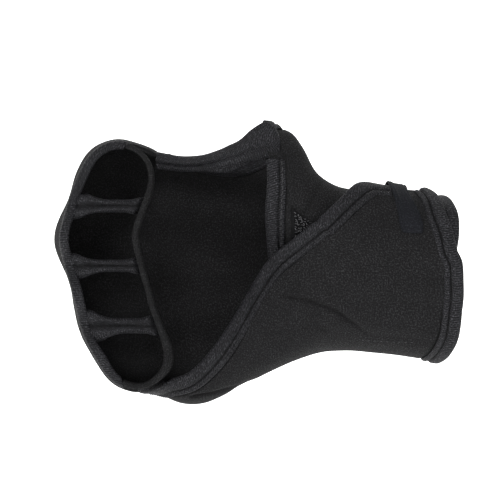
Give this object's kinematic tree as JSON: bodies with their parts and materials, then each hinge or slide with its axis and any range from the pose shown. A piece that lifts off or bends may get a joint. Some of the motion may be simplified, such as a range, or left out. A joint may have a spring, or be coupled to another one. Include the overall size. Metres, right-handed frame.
{
  "type": "weighted glove",
  "caption": "Fingerless open-palm training glove of stretch cloth with a weight pouch on the back, in the form it has when worn on a closed right hand.",
  "frame": {"origin": "centre of the wrist opening, where the glove is pulled on", "axes": "+X out of the wrist opening, up the arm; -Y the palm side; +Z the thumb side"},
  "size_m": [0.1416, 0.0571, 0.0996],
  "materials": {
    "cloth": "fine black knit over thin foam, matt",
    "tape": "black stretch binding with fine cross ribs, slight sheen",
    "hook": "black hook fastener, rough with small glints",
    "tab": "smooth black brushed cloth"
  },
  "bodies": {
    "root": {"back_shell": "cloth", "thumb_panel": "cloth", "palm_wrap": "cloth", "palm_binding": "tape", "thumb_binding": "tape", "wrap_binding": "tape", "cuff_binding": "tape", "back_cuff_binding": "tape", "thumb_cuff_binding": "tape", "index_rim": "tape", "middle_rim": "tape", "ring_rim": "tape", "little_rim": "tape", "palm_band": "cloth", "index_web": "tape", "middle_web": "tape", "ring_web": "tape", "thumb_web": "tape", "hook_patch": "hook", "closure_tab": "tab", "weight_pouch": "cloth"}
  },
  "joints": []
}
